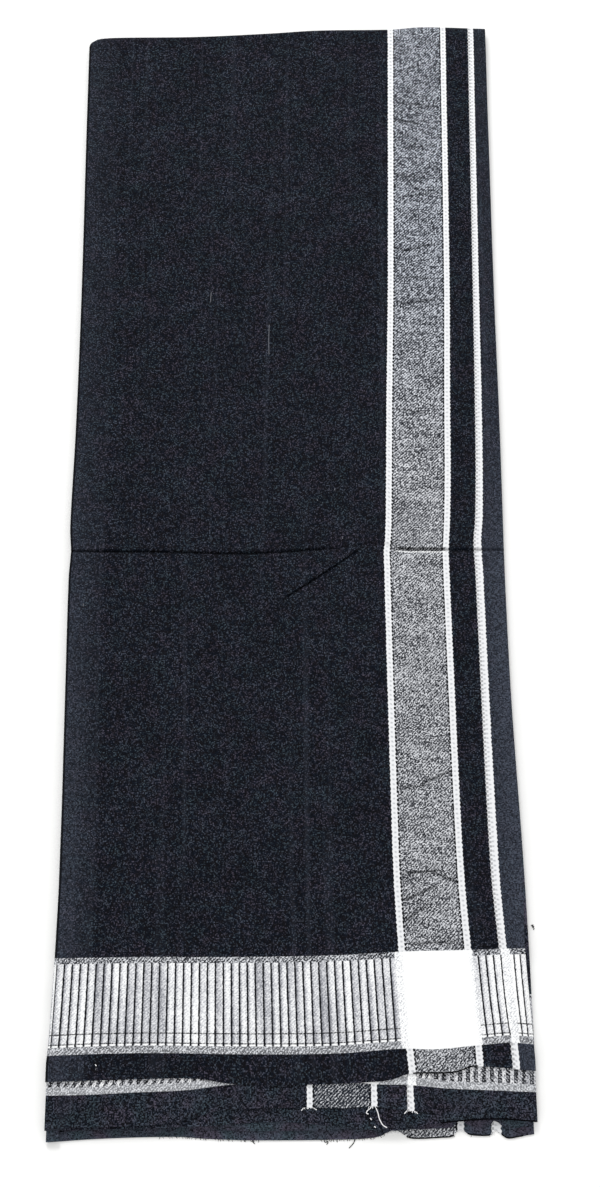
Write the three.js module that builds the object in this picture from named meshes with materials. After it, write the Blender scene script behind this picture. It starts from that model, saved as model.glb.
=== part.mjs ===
// A cotton lungi with woven silver borders, folded flat: one length of cloth about 1.30 m by 1.80 m.
// It is folded in half across its width twice, which makes four layers, and once across its length.
// The eight layers lie on each other: the far end is a fold, and the near end shows the raw ends.
// Millimetres, +X across the pack, +Y towards the far fold, +Z up; the pressed crease is at y = 0
// until the last lines, which move the origin to the middle of the underside.

import * as THREE from "three";

// Driving sizes
const CLOTH = 1.0; // wall of one layer of cloth
const GAP = 0.3; // air between pieces that touch
const HEIGHT = 8.6; // the eight layers together
const FAR_FOLD = 480; // the far fold, from the pressed crease
const LIP = 9; // how far the left folds run back under themselves
const SELVEDGE_ROUND = 0.35; // how much the cloth's free edges narrow
const BEND = 13.7; // from the left fold to the inside of the bend between the second layer and the third
const INNER_FOLDS_STOP = -290; // where the inner folds at the near end meet the hidden layers
const FRONT_TAIL = 3; // how far the front panel runs on under the far fold
const DROP_STARTS = -1; // start of the slope where the second layer stops, from its selvedge
const DROP_ENDS = 14; // end of that slope
const DROP_FADE = 80; // how far from the far fold it begins to die out
const NEAR_FRONT = -397; // about where the front's raw end lies
const NEAR_LOWEST = -437; // about where the lowest layer's raw end lies
const RIDGE_ANGLES = [0.2, 0.8, 1.3]; // points round the fold at the right edge, in radians

const RADIUS = HEIGHT / 2;
const LAYER = CLOTH + GAP;
const ROLL = (RADIUS - GAP / 2) / 2; // radius of the left folds, two of which fill the height
const TURN_START = FAR_FOLD - RADIUS;
const TURN_END = TURN_START + Math.PI * RADIUS;
const HALF_DEPTH = RADIUS - GAP / 2; // from an outer face to just short of the middle
const TONGUE = 2 * ROLL - LAYER; // depth that is free inside a left fold
const ROOT = LIP + 2 * GAP; // where the inner layers take up their full depth

// Plan outline of the upper four layers
const UPPER = [
  { y: -437, left: -173.5, ridge: 171.6, selvedge: 172.2 },
  { y: -390, left: -173.4, ridge: 171.9, selvedge: 172.2 },
  { y: -374, left: -172.2, ridge: 172.0, selvedge: 171.6 },
  { y: -342, left: -170.9, ridge: 171.9, selvedge: 170.0 },
  { y: -305, left: -169.8, ridge: 171.6, selvedge: 168.6 },
  { y: -243, left: -168.9, ridge: 170.6, selvedge: 169.4 },
  { y: -122, left: -170.0, ridge: 167.4, selvedge: 166.6 },
  { y: -22, left: -170.9, ridge: 166.8, selvedge: 166.0 },
  { y: 0, left: -170.0, ridge: 167.0, selvedge: 166.2 },
  { y: 20, left: -171.3, ridge: 167.3, selvedge: 166.5 },
  { y: 107, left: -169.9, ridge: 168.3, selvedge: 167.6 },
  { y: 226, left: -169.7, ridge: 168.9, selvedge: 168.2 },
  { y: 394, left: -171.0, ridge: 170.8, selvedge: 170.6 },
  { y: 480, left: -171.5, ridge: 171.3, selvedge: 171.7 },
];

// Plan outline of the lower four layers, which part from the upper ones near the raw ends
const LOWER = [
  { y: -437, left: -169.2, ridge: 168.8, selvedge: 168.2 },
  { y: -400, left: -171.6, ridge: 171.4, selvedge: 169.6 },
  { y: -305, left: -169.8, ridge: 171.2, selvedge: 168.4 },
  { y: -122, left: -170.0, ridge: 167.2, selvedge: 166.2 },
  { y: 107, left: -169.9, ridge: 168.2, selvedge: 167.4 },
  { y: 394, left: -171.0, ridge: 170.8, selvedge: 170.6 },
  { y: 480, left: -171.5, ridge: 171.3, selvedge: 171.7 },
];

// The far fold's line, which rises to the right and is rounded off at the left corner
const FAR_LINE = [
  { x: -172, y: 468.5 },
  { x: -158, y: 472.6 },
  { x: -143, y: 475.6 },
  { x: -79, y: 476.4 },
  { x: -16, y: 479.4 },
  { x: 26, y: 482.2 },
  { x: 90, y: 482.8 },
  { x: 117, y: 485.0 },
  { x: 172, y: 482.9 },
];

// Raw ends of the cloth at the near end, from the top layer down
const FRONT_END = [
  { x: -173, y: -396.5 },
  { x: -110, y: -394.8 },
  { x: -68, y: -395.4 },
  { x: -41, y: -399.9 },
  { x: 11, y: -400.7 },
  { x: 62, y: -398.7 },
  { x: 82, y: -393.6 },
  { x: 115, y: -393.4 },
  { x: 129, y: -389.4 },
  { x: 172, y: -392.3 },
];
const SECOND_END = [
  { x: -173, y: -429.0 },
  { x: -93, y: -426.8 },
  { x: -69, y: -422.6 },
  { x: -50, y: -417.6 },
  { x: 6, y: -416.0 },
  { x: 62, y: -419.1 },
  { x: 109, y: -420.9 },
];
const THIRD_END = [
  { x: -173, y: -430.6 },
  { x: -60, y: -428.0 },
  { x: -8, y: -425.6 },
  { x: 72, y: -431.8 },
  { x: 103, y: -427.1 },
  { x: 142, y: -424.6 },
  { x: 172, y: -426.6 },
];
const LOWEST_END = [
  { x: -170, y: -436.3 },
  { x: -80, y: -433.8 },
  { x: -51, y: -436.2 },
  { x: 20, y: -437.4 },
  { x: 55, y: -436.6 },
  { x: 70, y: -432.0 },
  { x: 104, y: -436.7 },
  { x: 122, y: -431.2 },
  { x: 150, y: -435.9 },
  { x: 170, y: -433.3 },
];

// How far the hidden layers' raw ends stand back from the lowest one, and the height each leaves
const HIDDEN_STEPS = [
  { back: 9.0, height: HALF_DEPTH },
  { back: 8.6, height: 3.2 },
  { back: 7.6, height: 3.2 },
  { back: 7.2, height: 2.2 },
  { back: 6.2, height: 2.2 },
];

// The second layer's selvedge, short of the front's, where the front drops onto the third layer
const SECOND_SELVEDGE = [
  { y: -437, x: 110 },
  { y: -400, x: 98 },
  { y: -300, x: 100 },
  { y: 480, x: 104 },
];

// Low relief of the front: the pressed crease, and soft swells between it and the ends
const CREASE = { depth: 1.1, breadth: 4 };
const SWELLS = [
  { y: -200, reach: 95, lift: 0.35 },
  { y: 130, reach: 110, lift: 0.45 },
  { y: 350, reach: 90, lift: 0.3 },
];

// Reads a column of a table at a place between its rows, on a smooth curve through them
function read(table, key, at, column) {
  const last = table.length - 1;
  let i = 0;
  while (i < last - 1 && table[i + 1][key] < at) i++;
  const slope = (j) => {
    const a = table[Math.max(j - 1, 0)];
    const b = table[Math.min(j + 1, last)];
    return (b[column] - a[column]) / (b[key] - a[key]);
  };
  const [a, b] = [table[i], table[i + 1]];
  const span = b[key] - a[key];
  const t = THREE.MathUtils.clamp((at - a[key]) / span, 0, 1);
  const [t2, t3] = [t * t, t * t * t];
  return (
    (2 * t3 - 3 * t2 + 1) * a[column] +
    (t3 - 2 * t2 + t) * span * slope(i) +
    (3 * t2 - 2 * t3) * b[column] +
    (t3 - t2) * span * slope(i + 1)
  );
}

const { lerp, smoothstep } = THREE.MathUtils;
const bump = (t) => (Math.abs(t) < 1 ? 0.5 + 0.5 * Math.cos(Math.PI * t) : 0);

// How much lower the top lies to the right of the second layer's selvedge; it fades at the far fold
function drop(x, y) {
  const edge = read(SECOND_SELVEDGE, "y", y, "x");
  const fade = 1 - smoothstep(y, FAR_FOLD - DROP_FADE, FAR_FOLD - DROP_FADE / 4);
  return LAYER * smoothstep(x, edge + DROP_STARTS, edge + DROP_ENDS) * fade;
}

// Lift or sink of the top face, which each layer takes up in proportion to its height
function relief(y) {
  let lift = -CREASE.depth * bump(y / CREASE.breadth);
  for (const swell of SWELLS) lift += swell.lift * bump((y - swell.y) / swell.reach);
  return lift;
}

// A station is a length along the top face, over the far fold and back along the underside.
// This gives y and z there at a depth below the outer face.
function follow(station, depth) {
  if (station <= TURN_START) return [station, HEIGHT - depth];
  if (station >= TURN_END) return [TURN_START - (station - TURN_END), depth];
  const angle = (station - TURN_START) / RADIUS;
  const reach = RADIUS - depth;
  return [TURN_START + reach * Math.sin(angle), RADIUS + reach * Math.cos(angle)];
}

// A section's point lies at a number of the way across: 0 is the left fold, 1 the second layer's
// selvedge and 2 the right edge. It is shifted on from there, lies at a depth below the outer face,
// and takes a share of the drop.
const at = (across, shift, depth, drops = 0) => ({ across, shift, depth, drops });

// Puts a section's point in the pack. Where a raw end is given, the point lies on its line.
function place(point, station, edge, rawEnd) {
  const lower = station > (TURN_START + TURN_END) / 2;
  const outline = lower ? LOWER : UPPER;
  let [y, z] = follow(station, point.depth);
  const left = read(outline, "y", y, "left");
  const shelf = read(SECOND_SELVEDGE, "y", y, "x");
  const right = read(outline, "y", y, edge);
  const { across } = point;
  const x = (across < 1 ? lerp(left, shelf, across) : lerp(shelf, right, across - 1)) + point.shift;
  if (rawEnd) {
    y = rawEnd(x, point);
  } else {
    y += (read(FAR_LINE, "x", x, "y") - FAR_FOLD) * smoothstep(y, 0, FAR_FOLD);
  }
  if (!lower) z -= point.drops * drop(x, y);
  z += relief(y) * (z / HEIGHT);
  return [x, y, z];
}

const rowOf = (section, station, edge, rawEnd) =>
  section.map((point) => place(point, station, edge, rawEnd));

// A wall swept along its stations: every row is one closed section, whose second half runs back
// beside the first, and the end caps join the two halves.
function sweep(rows) {
  const size = rows[0].length;
  const index = [];
  for (let r = 0; r + 1 < rows.length; r++) {
    for (let i = 0; i < size; i++) {
      const a = r * size + i;
      const b = r * size + ((i + 1) % size);
      index.push(a, b + size, b, a, a + size, b + size);
    }
  }
  const last = (rows.length - 1) * size;
  for (let i = 0; i < size / 2 - 1; i++) {
    const [a, b, c, d] = [i, i + 1, size - 2 - i, size - 1 - i];
    index.push(a, c, d, a, b, c);
    index.push(last + a, last + d, last + c, last + a, last + c, last + b);
  }
  const geometry = new THREE.BufferGeometry();
  geometry.setAttribute("position", new THREE.Float32BufferAttribute(rows.flat(2), 3));
  geometry.setIndex(index);
  geometry.computeVertexNormals();
  return geometry;
}

const closed = (outer, inner) => [...outer, ...inner.reverse()];

const evenly = (count, from, to) =>
  Array.from({ length: count }, (_, i) => lerp(from, to, i / (count - 1)));

// Places of the points across a face, right and left of the second layer's selvedge
const COLUMNS = 11;
const RIGHT_COLUMNS = [1.9, 1.6, 1.3];
const LEFT_COLUMNS = evenly(COLUMNS, 0.94, 0.06);
const SLOPE_POINTS = 4;
const TURN_POINTS = 7;

// Points of a face from the right edge to the left fold, with some on the slope of the drop
function faceRun(depth, drops) {
  return [
    ...RIGHT_COLUMNS.map((across) => at(across, 0, depth, drops)),
    ...evenly(SLOPE_POINTS, DROP_ENDS, DROP_STARTS).map((shift) => at(1, shift, depth, drops)),
    ...LEFT_COLUMNS.map((across) => at(across, 0, depth, drops)),
  ];
}

// Points of the half turn at the left fold, from its top to its bottom
function leftTurn(radius) {
  return evenly(TURN_POINTS, 0, Math.PI).map((angle) =>
    at(0, ROLL - radius * Math.sin(angle), ROLL - radius * Math.cos(angle)),
  );
}

// A panel: free selvedge at the right, folded back under itself at the left
function panelSection() {
  const [r, tip] = [SELVEDGE_ROUND, SELVEDGE_ROUND / 2];
  return closed(
    [
      at(2, 0, r, 1),
      at(2, -r, 0, 1),
      ...faceRun(0, 1),
      ...leftTurn(ROLL),
      at(0, LIP - tip, 2 * ROLL),
      at(0, LIP, 2 * ROLL - tip),
    ],
    [
      at(2, 0, CLOTH - r, 1),
      at(2, -r, CLOTH, 1),
      ...faceRun(CLOTH, 1),
      ...leftTurn(ROLL - CLOTH),
      at(0, LIP - tip, 2 * ROLL - CLOTH),
      at(0, LIP, 2 * ROLL - CLOTH + tip),
    ],
  );
}

// The hidden layers as one slab: a tongue in the left fold and a rounded fold at the right edge
function slabSection(bottom) {
  const top = LAYER;
  const half = (bottom - top) / 2;
  const under = Math.min(bottom, TONGUE);
  const ridge = (angle, side) =>
    at(
      2,
      half * (Math.cos(angle) - 1),
      top + half - side * half * Math.sin(angle),
      (1 + side * Math.sin(angle)) / 2,
    );
  return closed(
    [
      ...RIDGE_ANGLES.map((angle) => ridge(angle, 1)),
      ...faceRun(top, 1),
      at(0, ROOT + GAP, top),
      at(0, ROOT, top),
      at(0, 2 * LAYER, top),
      at(0, LAYER, top + GAP),
    ],
    [
      ...RIDGE_ANGLES.map((angle) => ridge(angle, -1)),
      ...faceRun(bottom, 0),
      at(0, ROOT + GAP, bottom),
      at(0, ROOT, under),
      at(0, 2 * LAYER, under),
      at(0, LAYER, under - GAP),
    ],
  );
}

// The inner folds at the near end: the second layer runs to the left fold and comes back as the
// third, which turns down at the right edge. Under says how far a point belongs to the third.
function innerFoldSection() {
  const [second, third] = [LAYER, 2 * LAYER];
  const half = (HALF_DEPTH - third) / 2;
  const ridge = (side) =>
    RIDGE_ANGLES.toReversed().map((angle) =>
      at(2, half * (Math.cos(angle) - 1), third + half - side * half * Math.sin(angle)),
    );
  const round = GAP / 2;
  const middle = third - round;
  const bend = evenly(TURN_POINTS, 0, 1).map((share) => ({
    ...at(
      0,
      BEND + round * (1 - Math.sin(Math.PI * share)),
      middle - round * Math.cos(Math.PI * share),
    ),
    under: share,
  }));
  const whole = [...LEFT_COLUMNS.toReversed(), 1, ...RIGHT_COLUMNS.toReversed()];
  const run = (list, depth) => list.map((across) => at(across, 0, depth));
  const mark = (under, points) => points.map((point) => ({ ...point, under }));
  return closed(
    [
      ...mark(0, [at(1, 0, second + GAP), at(1, -GAP, second), ...run(LEFT_COLUMNS, second)]),
      ...mark(0, [at(0, ROOT, second), at(0, third, second), at(0, LAYER, second + GAP)]),
      ...mark(1, [at(0, LAYER, TONGUE - GAP), at(0, third, TONGUE), at(0, ROOT, TONGUE)]),
      ...mark(1, [at(0, ROOT + GAP, HALF_DEPTH), ...run(whole, HALF_DEPTH), ...ridge(-1)]),
    ],
    [
      ...mark(0, [at(1, 0, second + CLOTH - GAP), at(1, -GAP, second + CLOTH)]),
      ...mark(0, run(LEFT_COLUMNS, second + CLOTH)),
      ...bend,
      ...mark(1, [...run(whole, third), ...ridge(1)]),
    ],
  );
}

// Stations along the top, close together at the pressed crease, and the same ones underneath
const NEAR_END = [-385, -376, -345, -309];
const INNER_ENDS = [-408];
const UP_TO_FOLD = [
  -265, -215, -165, -110, -60, -25, -10, -4, -2, 0, 2, 4, 10, 25, 60, 105, 150, 200, 250, 300, 350,
  400, 435, 462,
];
const turn = (steps) => evenly(steps + 1, TURN_START, TURN_END);
const underside = (y) => TURN_END + (TURN_START - y);
const BACK_TO_END = [435, 350, 250, 105, 0, -110, -215, -305, -360, -400].map(underside);
const onLine = (line, back = 0) => (x) => read(line, "x", x, "y") + back;

function frontPanel() {
  const section = panelSection();
  const run = [...NEAR_END, INNER_FOLDS_STOP, ...UP_TO_FOLD];
  const stations = [...run, ...turn(8), TURN_END + FRONT_TAIL];
  return sweep([
    rowOf(section, NEAR_FRONT, "selvedge", onLine(FRONT_END)),
    ...stations.map((station) => rowOf(section, station, "selvedge")),
  ]);
}

function innerFoldEnd() {
  const section = innerFoldSection();
  const stations = [...INNER_ENDS, NEAR_FRONT, ...NEAR_END, INNER_FOLDS_STOP];
  const rawEnd = (x, point) =>
    lerp(read(SECOND_END, "x", x, "y"), read(THIRD_END, "x", x, "y"), point.under);
  return sweep([
    rowOf(section, NEAR_LOWEST, "ridge", rawEnd),
    ...stations.map((station) => rowOf(section, station, "ridge")),
  ]);
}

function hiddenLayers() {
  const section = slabSection(HALF_DEPTH);
  const stations = [INNER_FOLDS_STOP + GAP, ...UP_TO_FOLD, ...turn(6), ...BACK_TO_END];
  return sweep([
    ...stations.map((station) => rowOf(section, station, "ridge")),
    ...HIDDEN_STEPS.map((step) => {
      const layers = slabSection(step.height);
      return rowOf(layers, underside(NEAR_LOWEST), "ridge", onLine(LOWEST_END, step.back));
    }),
  ]);
}

function backPanel() {
  const section = panelSection();
  const stations = [TURN_END + FRONT_TAIL + GAP, ...BACK_TO_END];
  return sweep([
    ...stations.map((station) => rowOf(section, station, "selvedge")),
    rowOf(section, underside(NEAR_LOWEST), "selvedge", onLine(LOWEST_END)),
  ]);
}

const BLACK_COTTON = { color: 0x1b1d25, roughness: 0.85 };

const lungi = new THREE.Group();
for (const [name, geometry] of [
  ["front_panel", frontPanel()],
  ["inner_fold_end", innerFoldEnd()],
  ["hidden_layers", hiddenLayers()],
  ["back_panel", backPanel()],
]) {
  const mesh = new THREE.Mesh(geometry, new THREE.MeshStandardMaterial(BLACK_COTTON));
  mesh.name = name;
  lungi.add(mesh);
}

const box = new THREE.Box3().setFromObject(lungi);
const middle = box.getCenter(new THREE.Vector3());
lungi.position.set(-middle.x, -middle.y, -box.min.z);

export default lungi;
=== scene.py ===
# %% [markdown]
# # A black cotton lungi with silver borders, folded flat
# A lungi is one uncut length of woven cloth, about 1.30 m by 1.80 m, worn round the waist. Here it
# is pressed and folded into a pack of eight layers. Black cotton is the ground; a silver border
# with white edges runs along each selvedge, and a ribbed silver band crosses the cloth near its
# raw ends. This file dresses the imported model: it makes each layer that shows as a thin wall of
# cloth, draws the woven pattern on it, and adds the yarn that has come loose.

# %% Load the frame
import math

import bmesh
import bpy
import numpy as np
from mathutils import Matrix, Vector


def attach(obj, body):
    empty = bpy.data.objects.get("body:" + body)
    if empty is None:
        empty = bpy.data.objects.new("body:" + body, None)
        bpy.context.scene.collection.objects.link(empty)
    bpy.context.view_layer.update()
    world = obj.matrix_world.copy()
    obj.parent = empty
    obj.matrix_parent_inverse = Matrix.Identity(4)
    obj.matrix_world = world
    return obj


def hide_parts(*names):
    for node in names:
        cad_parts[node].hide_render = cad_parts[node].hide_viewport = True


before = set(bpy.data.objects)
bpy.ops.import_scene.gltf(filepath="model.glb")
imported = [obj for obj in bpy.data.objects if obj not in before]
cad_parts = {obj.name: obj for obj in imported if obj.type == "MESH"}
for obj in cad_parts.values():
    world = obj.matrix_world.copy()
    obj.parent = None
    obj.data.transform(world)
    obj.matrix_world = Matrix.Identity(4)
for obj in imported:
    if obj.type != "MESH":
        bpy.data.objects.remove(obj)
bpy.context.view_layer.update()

MM = 0.001
print("CAD nodes:", sorted(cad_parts))

# %% [markdown]
# ## Sizes of the pack
# The cloth is described in millimetres from the pressed crease, which lies at y = 0: +x is across
# the pack, +y towards the far fold and +z up. Only the last step of each piece moves it into the
# model's frame and turns it into metres. The sizes repeat those of the solids, so that the cloth
# lies exactly where they are.

# %% Driving sizes
CREASE_IN_FRAME = Vector((0.630, -23.801, 0.0))  # where the crease's middle lies in the frame
WALL = 0.7  # one layer of cloth, as it looks from its raw end
SOLID_WALL = 1.0  # the room that the solids give it
GAP = 0.3  # air between layers
HEIGHT = 8.6  # eight layers
FAR_FOLD = 480.0
LIP = 9.0  # how far the left folds run back under themselves
EDGE_ROUND = 0.25  # how much a free edge narrows
INNER_FOLDS_STOP = -290.0
DROP = {"starts": -1.0, "ends": 14.0, "fades": 80.0}  # the slope beside the second layer's selvedge
NEAR_LOWEST = -437.0
BEND = 13.7  # from the left fold to the inside of the bend between second layer and third

RADIUS = HEIGHT / 2
LAYER = SOLID_WALL + GAP
ROLL = (RADIUS - GAP / 2) / 2  # radius of a left fold
TURN_START = FAR_FOLD - RADIUS
TURN_END = TURN_START + math.pi * RADIUS
HALF_DEPTH = RADIUS - GAP / 2
TONGUE = 2 * ROLL - LAYER
ROOT = LIP + 2 * GAP


def table(names, *rows):
    """A short table with named columns."""
    return dict(zip(names.split(), np.array(rows, float).T))


UPPER = table(
    "y left ridge selvedge",
    (-437, -173.5, 171.6, 172.2), (-390, -173.4, 171.9, 172.2), (-374, -172.2, 172.0, 171.6),
    (-342, -170.9, 171.9, 170.0), (-305, -169.8, 171.6, 168.6), (-243, -168.9, 170.6, 169.4),
    (-122, -170.0, 167.4, 166.6), (-22, -170.9, 166.8, 166.0), (0, -170.0, 167.0, 166.2),
    (20, -171.3, 167.3, 166.5), (107, -169.9, 168.3, 167.6), (226, -169.7, 168.9, 168.2),
    (394, -171.0, 170.8, 170.6), (480, -171.5, 171.3, 171.7),
)
LOWER = table(
    "y left ridge selvedge",
    (-437, -169.2, 168.8, 168.2), (-400, -171.6, 171.4, 169.6), (-305, -169.8, 171.2, 168.4),
    (-122, -170.0, 167.2, 166.2), (107, -169.9, 168.2, 167.4), (394, -171.0, 170.8, 170.6),
    (480, -171.5, 171.3, 171.7),
)
FAR_LINE = table(
    "x y", (-172, 468.5), (-167, 473.2), (-160, 475.2), (-143, 476.0), (-79, 476.4), (-16, 479.4),
    (26, 482.2), (90, 482.8), (117, 485.0), (172, 482.9),
)
SECOND_SELVEDGE = table("y x", (-437, 110), (-400, 98), (-300, 100), (480, 104))
FRONT_END = table(
    "x y", (-173, -397.9), (-110, -396.4), (-68, -396.1), (-41, -399.9), (11, -400.7),
    (62, -398.8), (72, -397.2), (82, -393.9), (115, -392.9), (129, -388.9), (172, -392.3),
)
SECOND_END = table(
    "x y", (-173, -429.0), (-93, -426.8), (-69, -422.6), (-50, -417.6), (6, -416.0),
    (34, -416.6), (58, -415.4), (68, -416.9), (84, -418.6), (109, -420.9),
)
THIRD_END = table(
    "x y", (-173, -430.6), (-60, -428.0), (-8, -425.6), (72, -431.8), (103, -427.1),
    (142, -424.6), (172, -426.6),
)
LOWEST_END = table(
    "x y", (-170, -438.0), (-132, -435.8), (-80, -434.9), (-60, -436.3), (-28, -437.5), (40, -437.3),
    (56, -436.4), (64, -434.6), (67, -432.4), (72, -432.0), (76.5, -432.6), (80, -435.6),
    (86, -437.0), (104, -436.4), (113, -435.5), (116, -431.9), (120, -431.5), (123, -434.0),
    (130, -435.2), (139.5, -434.7), (142, -431.2), (146, -434.0), (151, -437.1), (160, -436.0),
    (170, -434.4),
)
HIDDEN_STEPS = table(
    "back height", (9.0, HALF_DEPTH), (8.6, 3.2), (7.6, 3.2), (7.2, 2.2), (6.2, 2.2)
)
print(f"Pack {HEIGHT} mm high, {TURN_END - NEAR_LOWEST:.0f} mm along one face of the cloth")

# %% [markdown]
# ## Soft curves through a few measurements
# A folded edge is never straight, but it is smooth. So each outline is a table with a row wherever
# its direction changes, and a cubic curve reads it in between. The same reader serves the plan
# outlines, the raw ends and the lines of the woven pattern.


# %% Readers for the tables
def read(columns, at, key="x", column="y"):
    """Reads a column at places between its rows, on a smooth curve through them."""
    places, values = columns[key], columns[column]
    order = np.arange(len(places))
    ahead, behind = np.minimum(order + 1, order[-1]), np.maximum(order - 1, 0)
    slopes = (values[ahead] - values[behind]) / (places[ahead] - places[behind])
    i = np.clip(np.searchsorted(places, at, side="right") - 1, 0, order[-1] - 1)
    span = places[i + 1] - places[i]
    t = np.clip((at - places[i]) / span, 0, 1)
    return (
        (2 * t**3 - 3 * t**2 + 1) * values[i]
        + (t**3 - 2 * t**2 + t) * span * slopes[i]
        + (3 * t**2 - 2 * t**3) * values[i + 1]
        + (t**3 - t**2) * span * slopes[i + 1]
    )


def smoothstep(value, low, high):
    t = np.clip((value - low) / (high - low), 0, 1)
    return t * t * (3 - 2 * t)


def bump(t):
    """A soft hump, 1 in its middle and 0 from 1 outwards."""
    return np.where(np.abs(t) < 1, 0.5 + 0.5 * np.cos(np.pi * t), 0.0)


def lerp(a, b, t):
    return a + (b - a) * t


def marked(value, places, marks):
    """Reads marks between places that may differ for each point, at true scale beyond both ends."""
    result = marks[0] + value - places[0]
    for i in range(len(places) - 1):
        rate = (marks[i + 1] - marks[i]) / (places[i + 1] - places[i])
        result = np.where(value >= places[i], marks[i] + (value - places[i]) * rate, result)
    return np.where(value >= places[-1], marks[-1] + value - places[-1], result)


# %% [markdown]
# ## Creases
# Cotton keeps the marks of its folding. The pack was once folded again at its middle, which left a
# sharp line right across, and a second short crease runs into it at a slant. The stiff silver
# border wrinkles across its length. Each crease is placed one by one: where it runs, how broad it is
# and how deep. A trough has a low ridge on its near side, where the cloth was pushed up.

# %% Pressed crease, wrinkles and swells
PRESSED = table(
    "x y", (-172, -0.3), (-100, -1.2), (-30, -2.8), (32, 0.9), (60, 3.6), (74, 4.2), (84, -0.2),
    (121, -0.5), (172, -0.8),
)
PRESSED_SIZE = {"depth": 1.0, "breadth": 2.2, "ridge": 0.25}
SWELLS = table("y reach lift", (-200, 95, 0.35), (130, 110, 0.45), (350, 90, 0.3))
MARK = "x0 y0 x1 y1 breadth depth"
SLANTS = table(MARK, (-8, -41, 57, -3.0, 2.2, 0.75), (30, -22, 62, -10, 3.0, 0.25))
BORDER_WRINKLES = table(
    MARK,
    (82, -254.5, 112, -253, 1.8, 0.5), (102, -254, 124, -262, 1.8, 0.4), (79, -276, 110, -263, 2.0, 0.45),
    (80, -291, 102, -277, 1.8, 0.4), (84, -306, 122, -305, 2.2, 0.3), (80, -191, 102, -189, 2.4, 0.3),
    (96, -189, 122, -177, 2.2, 0.3), (84, 240, 120, 238, 2.0, 0.25), (84, 267, 102, 263, 2.0, 0.4),
    (96, 264, 124, 271, 2.0, 0.4), (86, 313, 124, 319, 2.2, 0.35), (86, 337, 110, 333, 2.2, 0.35),
    (100, 362, 128, 366, 2.2, 0.25), (88, 391, 114, 386, 2.4, 0.4), (90, 407, 128, 404, 2.5, 0.3),
    (94, 438, 120, 446, 2.2, 0.2), (88, 214, 124, 219, 2.6, 0.25), (84, 120, 112, 116, 2.4, 0.22),
)
SOFT_FOLDS = table(
    MARK,
    (-150, -150, -96, -128, 9, 0.25), (-60, -205, 20, -190, 12, 0.22), (-120, 60, -30, 92, 14, 0.25),
    (-40, 250, 60, 236, 12, 0.25), (-140, 330, -60, 352, 12, 0.2), (20, 420, 80, 404, 9, 0.22),
    (-166, 445, -120, 462, 5, 0.3),
)
MARK_RIDGE = 0.4  # the height of a mark's ridge, as a share of its depth
RIDGE_AWAY = 1.6  # how far a ridge lies from its trough, in breadths
FADING = 0.35  # the share of a mark's length over which each end fades


def trough(away, breadth, depth, ridge):
    """Height beside a crease, away millimetres from it on its near side."""
    beside = bump((away - RIDGE_AWAY * breadth) / breadth)
    return -depth * bump(away / breadth) + ridge * depth * beside


def relief(x, y):
    """How far the creases and swells lift or sink the top of the pack."""
    size = PRESSED_SIZE
    lift = trough(read(PRESSED, x) - y, size["breadth"], size["depth"], size["ridge"])
    for middle, reach, height in zip(*SWELLS.values()):
        lift = lift + height * bump((y - middle) / reach)
    marks = [row for kind in (SLANTS, BORDER_WRINKLES, SOFT_FOLDS) for row in zip(*kind.values())]
    for x0, y0, x1, y1, breadth, depth in marks:
        length = math.hypot(x1 - x0, y1 - y0)
        ux, uy = (x1 - x0) / length, (y1 - y0) / length
        along = ((x - x0) * ux + (y - y0) * uy) / length
        away = (x - x0) * uy - (y - y0) * ux
        fades = smoothstep(along, 0, FADING) * (1 - smoothstep(along, 1 - FADING, 1))
        lift = lift + trough(away, breadth, depth, MARK_RIDGE) * fades
    return lift


def drop(x, y):
    """How much lower the top lies to the right of the second layer's selvedge."""
    edge = read(SECOND_SELVEDGE, y, "y", "x")
    fade = 1 - smoothstep(y, FAR_FOLD - DROP["fades"], FAR_FOLD - DROP["fades"] / 4)
    return LAYER * smoothstep(x, edge + DROP["starts"], edge + DROP["ends"]) * fade


# %% [markdown]
# ## Layers as sections
# A layer of this pack is a long strip with nearly the same section all the way: flat across, with
# a half turn at its left fold. So it is made as a skirt board is: one section, carried along a row
# of stations. The stations run up the top face, round the far fold and back along the underside.
# The section has an outer and an inner run of points, which become the two faces of the wall.


# %% From a section and its stations to points
def follow(station, depth):
    """y and z at a station, at a depth below the outer face."""
    angle = np.clip((station - TURN_START) / RADIUS, 0, math.pi)
    reach = RADIUS - depth
    y = TURN_START + reach * np.sin(angle) + np.minimum(station - TURN_START, 0)
    return y - np.maximum(station - TURN_END, 0), RADIUS + reach * np.cos(angle)


def run(across, shift=0.0, depth=0.0, drops=0.0, past=0.0, under=0.0):
    """Points of a section. Across is 0 at the left fold, 1 at the second layer's selvedge and 2 at
    the right edge; past is the length of cloth beyond the left fold; under picks the raw end."""
    parts = np.broadcast_arrays(across, shift, depth, drops, past, under)
    return np.atleast_2d(np.array(parts, float).T)


def join(*runs):
    return np.concatenate(runs)


def place(section, stations, edge, raw_end=None, shares=(0,)):
    """Points, a row for each station, or for each share of the way to the raw end."""
    across, shift, depth, drops, _, under = section.T
    station = np.array(stations, float)[:, None]
    lower = station > (TURN_START + TURN_END) / 2
    y, z = follow(station, depth[None, :])

    def outline(column):
        return np.where(lower, read(LOWER, y, "y", column), read(UPPER, y, "y", column))

    left, right = outline("left"), outline(edge)
    shelf = read(SECOND_SELVEDGE, y, "y", "x")
    x = np.where(across < 1, lerp(left, shelf, across), lerp(shelf, right, across - 1)) + shift
    y = y + (read(FAR_LINE, x) - FAR_FOLD) * smoothstep(y, 0, FAR_FOLD)
    if raw_end:
        y = lerp(y, raw_end(x, under), np.array(shares)[:, None])
    z = z - np.where(lower, 0, drops * drop(x, y))
    z = z + relief(x, y) * z / HEIGHT
    return np.stack([x, y, z], axis=-1)


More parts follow.
